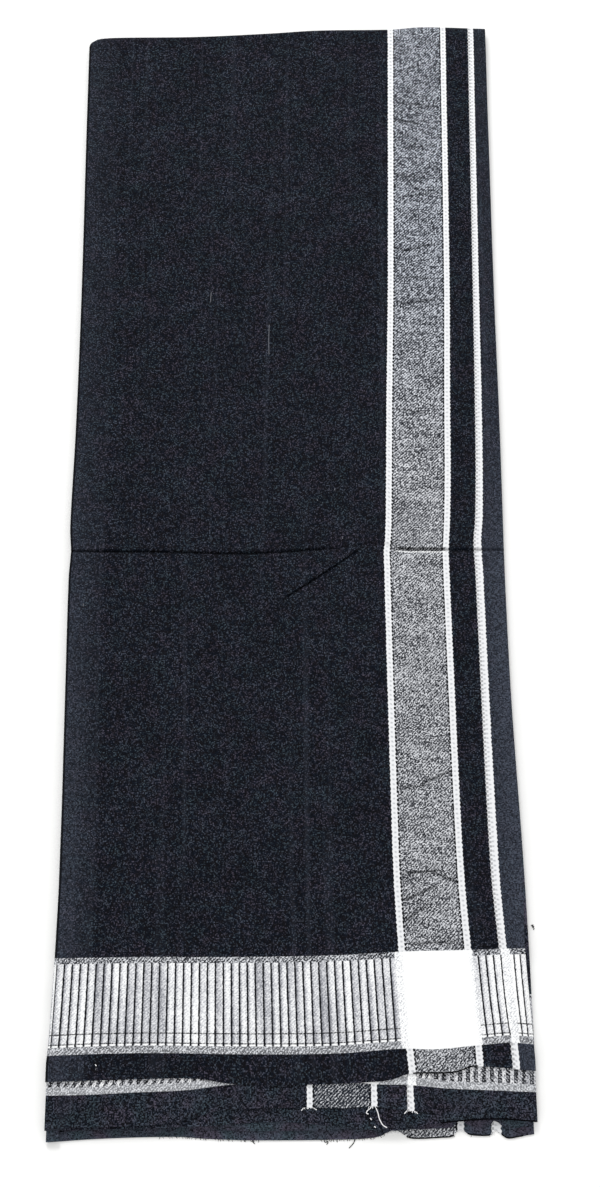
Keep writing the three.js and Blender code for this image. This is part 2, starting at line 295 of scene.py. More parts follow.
# Columns of points in each stretch of a section, and where the flat stretches start and end
SPREAD = {"right": 16, "slope": 8, "left": 84, "turn": 13}
FLAT = {"right": (1.95, 1.26), "left": (0.985, 0.025), "inner": (0.985, 0.06), "third": (1, 1.95)}


def face(depth, drops):
    """A flat run of the section from the right edge to the left fold."""
    slope = np.linspace(DROP["ends"], DROP["starts"], SPREAD["slope"])
    return join(
        run(np.linspace(*FLAT["right"], SPREAD["right"]), 0, depth, drops),
        run(1, slope, depth, drops),
        run(np.linspace(*FLAT["left"], SPREAD["left"]), 0, depth, drops),
    )


def panel(wall):
    """Outer and inner runs of a layer with a free selvedge at the right and a fold at the left."""
    angle = np.linspace(0, math.pi, SPREAD["turn"])
    runs = []
    for side, radius, depth in ((1, ROLL, 0.0), (-1, ROLL - wall, wall)):
        edge_depth = depth + side * EDGE_ROUND
        low = 2 * ROLL - depth
        runs.append(
            join(
                run(2, 0, edge_depth, 1),
                run(2, -EDGE_ROUND, depth, 1),
                face(depth, 1),
                run(0, ROLL - radius * np.sin(angle), ROLL - radius * np.cos(angle), past=ROLL * angle),
                run(0, LIP - EDGE_ROUND, low, past=ROLL * math.pi + LIP - ROLL),
                run(0, LIP, low - side * EDGE_ROUND, past=ROLL * math.pi + LIP - ROLL),
            )
        )
    return runs


RIDGE = np.linspace(0.1, 1.4, 5)  # points round the fold at the right edge


def slab(bottom):
    """Outer and inner runs of the hidden layers: a tongue in the left fold, a fold at the right."""
    top, half = LAYER, (bottom - LAYER) / 2
    low = min(bottom, TONGUE)
    runs = []
    for side, depth, tip in ((1, top, top), (-1, bottom, low)):
        round_off = half * (np.cos(RIDGE) - 1)
        level = top + half - side * half * np.sin(RIDGE)
        runs.append(
            join(
                run(2, round_off, level, (1 + side * np.sin(RIDGE)) / 2),
                face(depth, (1 + side) / 2),
                run(0, [ROOT + GAP], depth),
                run(0, [ROOT, 2 * LAYER], tip),
                run(0, [LAYER], tip + side * GAP),
            )
        )
    return runs


def inner_folds():
    """Outer and inner runs of the second layer and the third, which is its way back."""
    second, third = LAYER, 2 * LAYER
    half = (HALF_DEPTH - third) / 2
    inside = second + WALL
    bend, round_bend = np.linspace(0, 1, 7), (third - inside) / 2
    short = np.linspace(*FLAT["inner"], SPREAD["left"])
    whole = np.concatenate([short[::-1], np.linspace(*FLAT["third"], SPREAD["right"])])
    ridge = RIDGE[::-1]
    round_off = half * (np.cos(ridge) - 1)
    outer = join(
        run(1, [0, -EDGE_ROUND], [second + EDGE_ROUND, second]),
        run(short, 0, second),
        run(0, [ROOT, third, LAYER], [second, second, second + GAP]),
        run(0, [LAYER, third, ROOT], [TONGUE - GAP, TONGUE, TONGUE], under=1),
        run(0, ROOT + GAP, HALF_DEPTH, under=1),
        run(whole, 0, HALF_DEPTH, under=1),
        run(2, round_off, third + half + half * np.sin(ridge), under=1),
    )
    inner = join(
        run(1, [0, -EDGE_ROUND], [inside - EDGE_ROUND, inside]),
        run(short, 0, inside),
        run(
            0, BEND + round_bend * (1 - np.sin(math.pi * bend)),
            inside + round_bend * (1 - np.cos(math.pi * bend)), under=bend,
        ),
        run(whole, 0, third, under=1),
        run(2, round_off, third + half - half * np.sin(ridge), under=1),
    )
    return outer, inner


# %% [markdown]
# ## From points to a closed mesh
# The two faces of a wall are grids of equal size. Strips round the four sides join them, so the
# cloth is a closed body with real thickness, and its raw ends and selvedges can be seen edge on.
# Each point also carries its place on the flat cloth, in a UV map named cloth, measured in metres.
# Because the pattern is drawn in those coordinates, it bends where the cloth bends, just as a woven
# stripe does.


# %% Walls of cloth
def close_grids(rows, columns):
    """Faces that join two grids of points, numbered one after the other, into a closed wall."""
    number = np.arange(rows * columns).reshape(rows, columns)
    other = number + rows * columns

    def strip(a, b):
        return np.stack([a[:-1], a[1:], b[1:], b[:-1]], axis=-1)

    def grid(n):
        return np.stack([n[:-1, :-1], n[:-1, 1:], n[1:, 1:], n[1:, :-1]], axis=-1).reshape(-1, 4)

    return np.concatenate(
        [
            grid(number),
            grid(other)[:, ::-1],
            strip(number[0], other[0])[:, ::-1],
            strip(number[-1], other[-1]),
            strip(number[:, 0], other[:, 0]),
            strip(number[:, -1], other[:, -1])[:, ::-1],
        ]
    )


def put(name, data):
    """Makes an object of its data and puts it in the scene."""
    piece = bpy.data.objects.new(name, data)
    bpy.context.scene.collection.objects.link(piece)
    return piece


SHARP = 50.0  # degrees between faces from which an edge looks sharp


def new_mesh(name, points, faces, material, cloth=None, edges=()):
    """A piece at the origin, from points in millimetres from the crease."""
    mesh = bpy.data.meshes.new(name)
    moved = (np.asarray(points) + np.array(CREASE_IN_FRAME)) * MM
    mesh.from_pydata(moved.tolist(), list(edges), np.asarray(faces).tolist())
    if cloth is not None:
        corners = np.empty(len(mesh.loops), int)
        mesh.loops.foreach_get("vertex_index", corners)
        mesh.uv_layers.new(name="cloth").data.foreach_set("uv", (cloth[corners] * MM).ravel())
    if len(faces):
        solid = bmesh.new()
        solid.from_mesh(mesh)
        if solid.calc_volume(signed=True) < 0:
            mesh.flip_normals()
        solid.free()
        mesh.shade_smooth()
        mesh.set_sharp_from_angle(angle=math.radians(SHARP))
    mesh.materials.append(material)
    mesh.validate()
    return put(name, mesh)


def cloth_wall(name, runs, sweep, layout, material):
    """Sweeps a section's two runs, lays the pattern on it, and makes the piece."""
    outer, inner = (np.concatenate([place(section, **stretch) for stretch in sweep]) for section in runs)
    stations = np.concatenate([stretch["stations"] for stretch in sweep])[:, None]
    cloth = np.concatenate([layout(outer, runs[0], stations), layout(inner, runs[1], stations)])
    points = np.concatenate([outer.reshape(-1, 3), inner.reshape(-1, 3)])
    piece = new_mesh(name, points, close_grids(*outer.shape[:2]), material, cloth.reshape(-1, 2))
    flat_area = sum(p.area for p in piece.data.polygons) / 2
    print(f"{name}: {len(piece.data.polygons)} faces, {flat_area:.3f} m2 of cloth a side")
    return piece


# %% [markdown]
# ## The woven layout
# The weaver's plan for the cloth, in millimetres. Across it, counted from the middle of the pack's
# top face: the two white lines that edge the silver border, and the third white line nearer the
# selvedge. Along it, counted from the pressed crease: the ribbed band and the raw end.

# %% Plan of the borders and the band
WHITE_LINES = {"first": 77.0, "second": 124.0, "third": 147.5}
SELVEDGE = 165.0
LEFT_FOLD = -170.0
BAND_FROM = -379.0
BAND_TO = -311.5
RAW_END = -396.0

TOP_LINES = table(
    "y first second third",
    (-397, 85.6, 133.0, 159.3), (-377, 83.7, 132.3, 158.2), (-343, 81.6, 129.7, 154.8),
    (-308, 79.7, 127.2, 152.8), (-257, 77.5, 124.3, 149.4), (-200, 76.8, 123.0, 148.2),
    (-82, 76.0, 121.8, 147.3), (-17, 75.8, 121.3, 146.9), (-3, 75.7, 121.3, 146.4),
    (8, 76.9, 122.1, 146.4), (25, 77.8, 123.3, 148.4), (67, 79.0, 125.2, 150.4),
    (128, 80.7, 126.8, 152.1), (236, 84.2, 130.2, 154.4), (480, 89.6, 134.7, 159.3),
)
UNDER_LINES = table(
    "y first second third",
    (-437, 71.5, 118.0, 142.5), (-300, 76.0, 122.5, 146.0), (0, 78.0, 124.0, 148.0),
    (250, 84.0, 130.0, 154.0), (480, 89.6, 134.7, 159.3),
)
TOP_BAND = table(
    "x low high",
    (-172, -380.1, -312.4), (-140, -379.0, -312.0), (-102, -378.5, -311.7),
    (-38, -379.6, -312.1), (27, -379.6, -311.4), (80, -376.5, -309.0),
    (100, -377.2, -308.5), (130, -374.8, -307.9), (155, -372.8, -307.2),
    (172, -374.1, -306.9),
)
SECOND_BAND = table(
    "x low", (-173, -407.0), (-144, -406.6), (-110, -405.2), (-75, -403.9), (-41, -400.2),
    (13, -398.0), (45, -399.0), (58, -400.5), (83, -401.3), (100, -402.8),
)
THIRD_BAND = table("x low", (-173, -404), (90, -402), (109, -403.7), (138, -405), (171, -406.5))
SECOND_LINES = {"first": 12.8, "second": 57.8, "third": 83.5}
SECOND_SHIFT = WHITE_LINES["first"] - SECOND_LINES["first"]


def across_panel(points, past, outline, lines):
    """Place across the cloth on a layer of full width, from its outline and its white lines."""
    x, y = points[..., 0], points[..., 1]
    left, right = read(outline, y, "y", "left"), read(outline, y, "y", "selvedge")
    places = [left, *(read(lines, y, "y", name) for name in WHITE_LINES), right]
    marks = [LEFT_FOLD, *WHITE_LINES.values(), SELVEDGE]
    return marked(np.where(past > 0, left, x), places, marks) - past


def top_layout(points, section, stations):
    x, y = points[..., 0], points[..., 1]
    low, high = read(TOP_BAND, x, column="low"), read(TOP_BAND, x, column="high")
    places = [read(FRONT_END, x), low, high, read(PRESSED, x)]
    v = marked(y, places, [RAW_END, BAND_FROM, BAND_TO, 0.0])
    v = np.where(stations > TURN_START, stations, v)
    return np.stack([across_panel(points, section[:, 4], UPPER, TOP_LINES), v], axis=-1)


def under_layout(points, section, stations):
    v = points[..., 1] - NEAR_LOWEST + RAW_END
    return np.stack([across_panel(points, section[:, 4], LOWER, UNDER_LINES), v], axis=-1)


def inner_layout(points, section, stations):
    x, y = points[..., 0], points[..., 1]
    left = read(UPPER, y, "y", "left")
    third = section[:, 5] > 0.5
    places = [*SECOND_LINES.values(), read(SECOND_SELVEDGE, y, "y", "x")]
    u_second = marked(x, places, [*WHITE_LINES.values(), SELVEDGE])
    u_third = left - SECOND_SHIFT - (x - left)
    low = np.where(third, read(THIRD_BAND, x, column="low"), read(SECOND_BAND, x, column="low"))
    return np.stack([np.where(third, u_third, u_second), y - low + BAND_FROM], axis=-1)


def plain_layout(points):
    """All black: no border reaches so far to the left."""
    return np.stack([points[..., 0] - 2 * SELVEDGE, points[..., 1]], axis=-1)


# %% [markdown]
# ## The cloth's finish
# Ground: carded cotton dyed black, in a close plain weave. It is matt and takes up nearly all
# light, with a lively mottle where yarns differ, and it is drawn a little paler along its folds, as
# wear and painted sheen, and along its selvedge. Where the top fold turns under, and in the creases
# and the border's wrinkles, shade is painted in, with a painted highlight on the silver in front of
# the pressed crease. Borders and band: silver yarn, a thin foil wound on cotton, woven in over the
# black. It is brighter, a little metallic, and shows the diagonal of its twill. Where border and band
# cross, silver lies in both directions, so it looks white. On the back of the cloth the silver floats
# are sparser and duller. All of it is drawn with nodes from the cloth's own coordinates, in real
# millimetres, so that one plan serves every layer.


# %% Colour and node helpers
def linear(value):
    """A linear colour from an sRGB hex value."""
    parts = ((value >> shift & 255) / 255 for shift in (16, 8, 0))
    return (*(p / 12.92 if p <= 0.04045 else ((p + 0.055) / 1.055) ** 2.4 for p in parts), 1.0)


def adder(tree):
    """The one function that adds a node to a tree: its kind, its inputs by socket or by name, a
    ramp's stops, and its settings. It gives back the output that is asked for."""

    def add(kind, *inputs, named={}, sockets=range(9), stops=(), output=0, **settings):
        node = tree.nodes.new(kind)
        for key, value in settings.items():
            setattr(node, key, value)
        for _ in stops[2:]:
            node.color_ramp.elements.new(1.0)
        for element, (position, colour) in zip(node.color_ramp.elements if stops else (), stops):
            element.position, element.color = position, colour
        for key, value in [*zip(sockets, inputs), *named.items()]:
            if isinstance(value, bpy.types.NodeSocket):
                tree.links.new(value, node.inputs[key])
            elif value is not None:
                node.inputs[key].default_value = value
        return node.outputs[output] if node.outputs else None

    return add


MATHS, RANGE, MIX, RAMP = "ShaderNodeMath", "ShaderNodeMapRange", "ShaderNodeMix", "ShaderNodeValToRGB"
SUMS = ("MULTIPLY", "MULTIPLY_ADD", "SUBTRACT", "MAXIMUM", "GREATER_THAN", "SINE")
TIMES, TIMES_PLUS, MINUS, LARGER, PAST, SINE = ({"operation": name} for name in SUMS)
# A mix node takes a share and two values, whose sockets depend on what it mixes
CHOICE = {"sockets": (0, 2, 3)}
BLEND = {"sockets": (0, 6, 7), "output": 2, "data_type": "RGBA"}
TINT = {"blend_type": "MULTIPLY", **BLEND}
SOFT_EDGE = 0.15
# How many patches of each noise lie in a millimetre, and how far some are drawn out
PER_MM = {"jog": 0.45, "tint": 0.3, "cast": 0.06, "streaks": 0.12, "patches": 0.03, "silver": 0.05,
          "bars": 0.035, "yarns": 0.2}
STRETCH = {"streaks": (1.0, 0.01, 1.0), "silver": (0.6, 2.0, 1.0), "bars": (1.0, 0.25, 1.0),
           "yarns": (1.0, 0.04, 1.0)}
JOG = 0.9  # how far a woven edge steps to either side
STROKE_FADE = 0.08  # the share of a line over which each end fades
# Single yarns are too fine to show, so the mottle is this coarse
WEAVE_CELL = {"cotton": 0.9, "silver": 0.8, "far silver": 1.1}


class Cloth:
    """The cloth's coordinates in a node tree, and the masks and noises that are read from them."""

    def __init__(self, tree):
        self.add = adder(tree)
        add = self.add
        uv = add("ShaderNodeUVMap", uv_map="cloth")
        self.mm = add("ShaderNodeVectorMath", uv, named={"Scale": 1 / MM}, operation="SCALE")
        self.across = add("ShaderNodeSeparateXYZ", self.mm)
        self.along = add("ShaderNodeSeparateXYZ", self.mm, output=1)
        # A woven edge is never straight: it steps from yarn to yarn
        jog = add(MATHS, self.noise(PER_MM["jog"], 1.0), 0.5, **MINUS)
        self.across = add(MATHS, jog, JOG, self.across, **TIMES_PLUS)

    def noise(self, scale, detail=2.0, stretch=(1, 1, 1), seed=0.0):
        moved = self.add("ShaderNodeMapping", self.mm, (seed, seed, 0.0), named={"Scale": stretch})
        return self.add("ShaderNodeTexNoise", moved, named={"Scale": scale, "Detail": detail})

    def speckle(self, seed=0.0, yarn="cotton"):
        """Uneven yarns, from 0 to 1: cells of the weave, softened by a noise of the same size."""
        moved = self.add("ShaderNodeVectorMath", self.mm, (seed, seed, 0.0))
        cell = self.add("ShaderNodeVectorMath", moved, (WEAVE_CELL[yarn],) * 3, operation="SNAP")
        cells = self.add("ShaderNodeTexWhiteNoise", cell)
        soft = self.add(RANGE, self.noise(0.9 / WEAVE_CELL[yarn], 1.0, seed=seed), 0.3, 0.7, 0.0, 0.45)
        return self.add(MATHS, cells, 0.55, soft, **TIMES_PLUS)

    def between(self, value, low, high, edge=SOFT_EDGE):
        """1 where the value lies between two limits, with a soft edge."""
        above = self.add(RANGE, value, low - edge, low + edge, 0.0, 1.0)
        below = self.add(RANGE, value, high - edge, high + edge, 1.0, 0.0)
        return self.add(MATHS, above, below, **TIMES)

    def stroke(self, start, end, half, edge):
        """1 along a straight line between two places on the cloth, fading at its ends."""
        (u0, v0), (u1, v1) = start, end
        length = math.hypot(u1 - u0, v1 - v0)
        ux, uy = (u1 - u0) / length, (v1 - v0) / length
        du = self.add(MATHS, self.across, u0, **MINUS)
        dv = self.add(MATHS, self.along, v0, **MINUS)
        away = self.add(MATHS, du, uy, self.add(MATHS, dv, -ux, **TIMES), **TIMES_PLUS)
        there = self.add(MATHS, du, ux, self.add(MATHS, dv, uy, **TIMES), **TIMES_PLUS)
        fade = STROKE_FADE * length
        ends = self.between(there, fade, length - fade, fade)
        return self.add(MATHS, self.between(away, -half, half, edge), ends, **TIMES)

    def repeat(self, value, pitch):
        """Runs from 0 to 1 over each pitch."""
        return self.add(MATHS, self.add(MATHS, value, 1 / pitch, **TIMES), operation="FRACT")


# %% Colours and the borders' small sizes
BLACK_DEEP = linear(0x07080B)
BLACK_BROWN = linear(0x111015)
BLACK_BLUE = linear(0x0C111B)
BLACK_PALE = linear(0x4C525F)
PALE_WARM, PALE_COOL = linear(0x504C5A), linear(0x435059)
WHITE = linear(0xE2E3E5)
DOT_GREY = linear(0xADAFB3)
SILVER_DARK = linear(0x101217)
SILVER = linear(0x585A60)
SILVER_LIGHT = linear(0xD4D6DA)
SILVER_DULL = linear(0x32363E)
BAND_SHADE = linear(0x83858C)
BAND_LIGHT = linear(0xC9CACE)
CROSSING_DOT = linear(0xB9BBC0)
CROSSING = linear(0xF2F3F3)
PLAIN_BLACK, PLAIN_WHITE = linear(0x000000), linear(0xFFFFFF)
COOL = linear(0xECF0F6)  # the far half of the border has a bluish cast

LINE_WIDTH = {"first": 4.6, "second": 4.6, "third": 5.4}
BEAD_PITCH = 3.2  # the beads along the white lines, and the dark dashes beside them
BEAD_REACH = 0.22
DASHES = {"first": (2.1, 3.5), "second": (-3.5, -2.1), "third": (-2.7, -1.0)}  # from a line's middle
DASH_STRENGTH = {"first": 1.0, "second": 1.0, "third": 0.5}
BACK_LINE = 0.85  # on the back of the cloth the white lines are this much narrower
LINE_DOT, LINE_DOT_PITCH = 0.8, 3.6  # the grey dots down the middle of each line
TWILL_PITCH = 2.6  # real twill is finer; this is as coarse as it needs to show
# Where silver meets silver
BORDER_CROSSING = (WHITE_LINES["first"] - 5.2, WHITE_LINES["second"] + 3.0)
CROSS_CORE = (WHITE_LINES["first"] - 0.3, WHITE_LINES["second"] + 1.2)
THIRD_CROSSING = (WHITE_LINES["third"] - 1.6, WHITE_LINES["third"] + 5.0)
PITCH_LEFT, PITCH_RIGHT = 5.62, 5.0  # ribs of the band, left and right of the border
RIB_LINE = 1.3
BACK_BAR = 0.42  # on the back of the cloth, the share of each rib that is silver
BACK_LEAN = 0.45  # and how far the ribs of the second layer lean
BAND_ROWS = {"stripe": 5.2, "dashes": 6.5, "seam": 7.4, "squares": 13.4, "seam_2": 14.3, "ribs": 63.2}
BAND_HEIGHT = BAND_TO - BAND_FROM
PALE_FOLD_REACH = 30.0  # how far the left fold is drawn pale, as wear and painted sheen
TURNED_UNDER = (0.8, 2.2)  # and where it turns into its own shadow
BORDER_COOLS = (60.0, 260.0)  # the border takes a bluish cast from here to there
# Painted crease shade: its width on cotton and its span on silver, the span of the painted highlight in
# front of it, and the ends of the slanting crease
CREASE_LINE = {"cotton": 1.0, "silver": (-0.9, 1.9), "shine": (-2.4, -1.5)}
SLANT_CREASE = ((-9.0, -42.2), (63.0, 1.1))


# %% Black ground
def black_ground(cloth, fade):
    add = cloth.add
    grain = cloth.speckle()
    tint = cloth.noise(PER_MM["tint"], 1.0, seed=31.0)
    tint = add(RAMP, tint, stops=[(0.4, BLACK_BROWN), (0.6, BLACK_BLUE)])
    colour = add(MIX, add(RANGE, grain, 0.45, 0.1), tint, BLACK_DEEP, **BLEND)
    pale = add(RANGE, grain, 0.58 - fade, 0.98 - fade / 2, 0.0, 0.95)
    tints = [(0.35, PALE_WARM), (0.5, BLACK_PALE), (0.65, PALE_COOL)]
    pale_tint = add(RAMP, cloth.noise(PER_MM["cast"], 1.0, seed=53.0), stops=tints)
    colour = add(MIX, pale, colour, pale_tint, **BLEND)
    # Faint lengthwise streaks, where a few thicker yarns run
    streaks = cloth.noise(PER_MM["streaks"], 1.0, STRETCH["streaks"])
    streaks = add(RANGE, streaks, 0.6, 0.8, 0.0, 0.12)
    colour = add(MIX, streaks, colour, BLACK_PALE, **BLEND)
    patches = add(RANGE, cloth.noise(PER_MM["patches"]), 0.35, 0.7, 0.85, 1.15)
    return add(MIX, 1.0, colour, patches, **TINT), grain


def sheen_wear_and_fold_shade(cloth, colour, grain):
    """The top layer is paler along its left fold, as wear and painted sheen, and along its right
    margin, with painted shade where the fold turns under.
    """
    add = cloth.add
    # Painted sheen, with some wear, along the left fold, stronger towards the near end
    left = add(RANGE, cloth.across, LEFT_FOLD + PALE_FOLD_REACH, LEFT_FOLD, 0.0, 0.5)
    left = add(MATHS, left, add(RANGE, cloth.along, 150.0, -150.0, 0.45, 1.0), **TIMES)
    right = add(RANGE, cloth.across, WHITE_LINES["third"], SELVEDGE, 0.4, 0.8)
    margin = add(MATHS, cloth.across, WHITE_LINES["third"], **PAST)
    right = add(MATHS, right, margin, **TIMES)
    right = add(MATHS, right, add(RANGE, cloth.along, 160.0, -20.0, 0.3, 1.0), **TIMES)
    by_grain = add(RANGE, grain, 0.2, 0.8, 0.15, 1.0)
    # The pale of wear and painted sheen, broken up by the grain
    worn = add(MATHS, add(MATHS, left, right, **LARGER), by_grain, **TIMES)
    colour = add(MIX, worn, colour, BLACK_PALE, **BLEND)
    # Painted shade where the left fold turns under, away from the light
    fold_shade = add(RANGE, cloth.across, *(LEFT_FOLD + reach for reach in TURNED_UNDER), 0.9, 0.0)
    return add(MIX, fold_shade, colour, BLACK_DEEP, **BLEND)


# %% Silver border and white lines
def silver_yarn(cloth):
    """Silver seen from its face: a speckle over the diagonal of the twill."""
    add = cloth.add
    slant = add(MATHS, cloth.across, cloth.along, **MINUS)
    wave = add(MATHS, add(MATHS, slant, 2 * math.pi / TWILL_PITCH, **TIMES), **SINE)
    far = add(RANGE, cloth.along, -10.0, 60.0, 0.0, 0.8)
    speck = add(MIX, far, cloth.speckle(7.0, "silver"), cloth.speckle(11.0, "far silver"), **CHOICE)
    # Painted shade of soft crosswise wrinkles, and a little darker towards the far fold
    shade = cloth.noise(PER_MM["silver"], 2.0, STRETCH["silver"])
    shade = add(RANGE, shade, 0.3, 0.7, -0.06, 0.06)
    shade = add(MATHS, shade, add(RANGE, cloth.along, 60.0, 450.0, 0.02, -0.01))
    speck = add(MATHS, wave, 0.13, add(MATHS, speck, shade), **TIMES_PLUS)
    silver = add(RAMP, speck, stops=[(0.24, SILVER_DARK), (0.5, SILVER), (0.78, SILVER_LIGHT)])
    cool = add(RAMP, add(RANGE, cloth.along, *BORDER_COOLS), stops=[(0.0, PLAIN_WHITE), (1.0, COOL)])
    return add(MIX, 1.0, silver, cool, **TINT), speck, wave


def dull_silver(cloth, speck, wave):
    """The same silver from the back, where the black yarn covers more of it: a clear hatch."""
    add = cloth.add
    hatch = add(MATHS, wave, 0.08, speck, **TIMES_PLUS)
    return add(RAMP, hatch, stops=[(0.2, BLACK_BLUE), (0.55, SILVER_DULL), (1.0, SILVER_LIGHT)])


def white_lines(cloth, colour, back):
    add = cloth.add
    beads = add(MATHS, add(MATHS, cloth.along, 2 * math.pi / BEAD_PITCH, **TIMES), **SINE)
    across = add(MATHS, beads, BEAD_REACH, cloth.across, **TIMES_PLUS)
    dash = add(RANGE, beads, -0.45, 0.0, 0.0, 1.0)
    dots = cloth.between(cloth.repeat(cloth.along, LINE_DOT_PITCH), 0.3, 0.62, 0.15)
    for name, width in LINE_WIDTH.items():
        middle, half = WHITE_LINES[name], width / 2 * (BACK_LINE if back else 1)
        line = cloth.between(across, middle - half, middle + half)
        dot = cloth.between(across, middle - LINE_DOT, middle + LINE_DOT, 0.5)
        dot = add(MATHS, dot, dots, **TIMES)
        white = add(MIX, dot, WHITE, DOT_GREY, **BLEND)
        low, high = DASHES[name]
        gap = add(MATHS, cloth.between(cloth.across, middle + low, middle + high), dash, **TIMES)
        gap = add(MATHS, gap, DASH_STRENGTH[name], **TIMES)
        colour = add(MIX, line, colour, white, **BLEND)
        colour = add(MIX, gap, colour, BLACK_DEEP, **BLEND)
    return colour


# %% Ribbed band
def ribbed_band(cloth, silver, speck, back):
    add = cloth.add
    height = add(MATHS, cloth.along, BAND_FROM, **MINUS)
    past_border = add(MATHS, cloth.across, WHITE_LINES["second"], **PAST)
    across = cloth.across
    if back:  # its ribs lean on the second layer, not on the third, beyond the left fold
        lean = add(MATHS, add(MATHS, across, LEFT_FOLD, **PAST), -BACK_LEAN, **TIMES)
        across = add(MATHS, height, lean, across, **TIMES_PLUS)
    turns = [cloth.repeat(across, pitch) for pitch in (PITCH_LEFT, PITCH_RIGHT)]
    rib = add(MIX, past_border, *turns, **CHOICE)
    line = RIB_LINE / PITCH_LEFT
    stops = [(0.0, PLAIN_BLACK), (line * 0.8, PLAIN_BLACK), (line * 1.15, PLAIN_WHITE)]
    if back:
        stops = [(0.0, PLAIN_WHITE), (BACK_BAR, PLAIN_WHITE), (BACK_BAR + 0.04, PLAIN_BLACK)]
    silver_here = add(RAMP, rib, stops=stops)
    lit = add(RANGE, rib, line, 0.55, *((0.6, 0.9) if back else (0.3, 0.8)))
    lit = add(MATHS, past_border, 0.3, lit, **TIMES_PLUS)
    lit = add(MATHS, add(RANGE, speck, 0.15, 0.9, -0.45, 0.3), lit)
    for name, detail, low, high in (("bars", 2.0, -0.3, 0.2), ("yarns", 1.0, -0.2, 0.15)):
        uneven = cloth.noise(PER_MM[name], detail, STRETCH[name])
        lit = add(MATHS, lit, add(RANGE, uneven, 0.35, 0.65, low, high))
    ribs = add(RAMP, lit, stops=[(0.0, BAND_SHADE), (0.55, BAND_LIGHT), (1.0, CROSSING)])
    ground = SILVER_DARK
    if back:  # rings of silver lie on the black between the bars
        ground = add(RAMP, speck, stops=[(0.35, BLACK_DEEP), (0.65, SILVER), (0.85, BAND_LIGHT)])
        silver_here = add(MATHS, silver_here, add(RANGE, speck, 0.15, 0.45, 0.3, 1.0), **TIMES)
    ribs = add(MIX, silver_here, ground, ribs, **BLEND)
    if not back:
        for low, high in (("squares", "seam_2"), ("dashes", "seam")):
            seam = cloth.between(height, BAND_ROWS[low], BAND_ROWS[high])
            seam = add(MATHS, seam, add(RANGE, speck, 0.3, 0.9, 1.0, 0.4), **TIMES)
            ribs = add(MIX, seam, ribs, SILVER_DARK, **BLEND)
        hooks = cloth.between(height, BAND_ROWS["stripe"], BAND_ROWS["dashes"])
        hooks = add(MATHS, hooks, cloth.between(rib, 0.3, 0.95, 0.08), **TIMES)
        ribs = add(MIX, add(MATHS, hooks, 0.9, **TIMES), ribs, CROSSING, **BLEND)
    pale = add(MIX, 0.3 if back else 0.16, silver, SILVER_LIGHT, **BLEND)
    ribs = add(MIX, cloth.between(height, -1.0, BAND_ROWS["stripe"]), ribs, pale, **BLEND)
    ribs = add(MIX, cloth.between(height, BAND_ROWS["ribs"], BAND_HEIGHT + 1), ribs, silver, **BLEND)
    crossings = (cloth.between(cloth.across, *limits) for limits in (BORDER_CROSSING, THIRD_CROSSING))
    crossing = add(MATHS, *crossings, **LARGER)
    dotted = add(RAMP, speck, stops=[(0.2, CROSSING_DOT), (0.5, CROSSING)])
    core = cloth.between(cloth.across, *CROSS_CORE, 1.5)
    dotted = add(MIX, core, dotted, CROSSING, **BLEND)
    ribs = add(MIX, crossing, ribs, dotted, **BLEND)
    return ribs, cloth.between(height, 0.0, BAND_HEIGHT)


# %% Painted shade and highlight along the creases
def crease_shade_and_highlight(cloth, colour, border, speck):
    """The pressed crease and the slanting one: painted shade along the crease, with a painted
    highlight on the silver just in front of it."""
    add = cloth.add
    slant = cloth.stroke(*SLANT_CREASE, 1.0, 0.4)
    broken = add(RANGE, speck, 0.1, 0.8, 1.0, 0.65)
    on_cotton = cloth.between(cloth.along, -CREASE_LINE["cotton"], CREASE_LINE["cotton"], 0.8)
    past_borders = add(MATHS, cloth.across, WHITE_LINES["second"], **PAST)
    fades = add(RANGE, cloth.across, 20.0, 50.0, 1.0, 0.15)
    fades = add(MATHS, fades, add(MATHS, past_borders, 0.8, **TIMES), **LARGER)
    on_cotton = add(MATHS, on_cotton, fades, **TIMES)
    past_first = add(RANGE, cloth.across, WHITE_LINES["first"] + 4, WHITE_LINES["first"] + 10)
    on_silver = cloth.between(cloth.along, *CREASE_LINE["silver"], 0.4)
    on_silver = add(MATHS, add(MATHS, on_silver, border, **TIMES), past_first, **TIMES)
    # Painted shade along the pressed crease and the slanting one
    dark = add(MATHS, add(MATHS, on_cotton, slant, **LARGER), on_silver, **LARGER)
    dark = add(MATHS, dark, broken, **TIMES)
    colour = add(MIX, dark, colour, PLAIN_BLACK, **BLEND)
    # Painted highlight on the silver just in front of the pressed crease
    shine = cloth.between(cloth.along, *CREASE_LINE["shine"], 0.25)
    bits = add(RANGE, speck, 0.25, 0.6, 0.15, 1.0)
    shine = add(MATHS, add(MATHS, shine, border, **TIMES), add(MATHS, past_first, bits, **TIMES), **TIMES)
    return add(MIX, shine, colour, CROSSING, **BLEND), dark


def wrinkle_shade(cloth, colour, speck):
    """The wrinkles of the silver border, from the same table as their relief: painted shade in the trough.
    """
    add = cloth.add
    lines = 0.0
    for x0, y0, x1, y1, breadth, depth in zip(*BORDER_WRINKLES.values()):
        shift = WHITE_LINES["first"] - read(TOP_LINES, y0, "y", "first")
        line = cloth.stroke((x0 + shift, y0), (x1 + shift, y1), 0.5 * breadth, 0.35 * breadth)
        lines = add(MATHS, line, 0.3 + 1.9 * depth, lines, **TIMES_PLUS)
    # Painted shade in the wrinkles' troughs, broken up by the speckle
    share = add(MATHS, lines, add(RANGE, speck, 0.2, 0.8, 1.0, 0.55), **TIMES)
    return add(MIX, share, colour, SILVER_DARK, **BLEND)


# %% The whole finish
def new_material(name):
    material = bpy.data.materials.new(name)
    material.use_nodes = True
    material.node_tree.nodes.clear()
    return material


